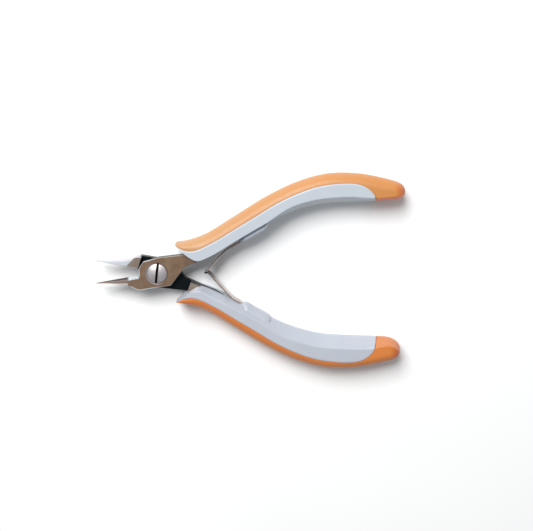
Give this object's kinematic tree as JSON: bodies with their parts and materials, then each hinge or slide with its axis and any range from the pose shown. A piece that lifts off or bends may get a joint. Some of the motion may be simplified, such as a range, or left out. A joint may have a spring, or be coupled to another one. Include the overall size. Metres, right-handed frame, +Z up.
{
  "type": "sprue nippers",
  "caption": "Small precision nippers with slender pointed cutting jaws, a screwed lap joint, a pair of meeting blade springs and two-tone curved handles, standing open.",
  "frame": {"origin": "centre of the open tool's bounding box, on the plane it lies on", "axes": "+X towards the handle ends, +Y across the tool towards the handle of the upper lever, +Z up through the thickness, screw head uppermost"},
  "size_m": [0.1298, 0.084, 0.013],
  "materials": {
    "steel": "fine ground, satin",
    "screw_steel": "turned, bright",
    "spring_steel": "polished strip",
    "core_plastic": "semi-gloss moulded",
    "cover_plastic": "soft satin overmould"
  },
  "bodies": {
    "back_lever_body": {"back_lever": "steel", "pivot_screw": "screw_steel", "lower_grip_core": "core_plastic", "lower_grip_cover": "cover_plastic", "lower_spring_clip": "core_plastic", "lower_spring_root": "spring_steel"},
    "front_lever_body": {"front_lever": "steel", "upper_grip_core": "core_plastic", "upper_grip_cover": "cover_plastic", "upper_spring_clip": "core_plastic", "upper_spring_root": "spring_steel"},
    "lower_spring": {"lower_spring_blade": "spring_steel"},
    "upper_spring": {"upper_spring_blade": "spring_steel"}
  },
  "joints": [
    {"name": "handle_pivot", "type": "hinge", "parent": "back_lever_body", "child": "front_lever_body", "pos_m": [-0.0387, 0, 0.0065], "axis": [0, 0, -1], "range_deg": [0, 20], "stiffness_Nm_per_rad": 1.5},
    {"name": "lower_spring_flex", "type": "hinge", "parent": "back_lever_body", "child": "lower_spring", "pos_m": [-0.00678, -0.01132, 0.0065], "axis": [0, 0, 1], "range_deg": [0, 12.6]},
    {"name": "upper_spring_flex", "type": "hinge", "parent": "front_lever_body", "child": "upper_spring", "pos_m": [-0.00678, 0.01132, 0.0065], "axis": [0, 0, -1], "range_deg": [0, 12.6]}
  ],
  "couplings": [
    {"joint": "lower_spring_flex", "follows": "handle_pivot", "ratio": 0.62},
    {"joint": "upper_spring_flex", "follows": "handle_pivot", "ratio": 0.62}
  ]
}
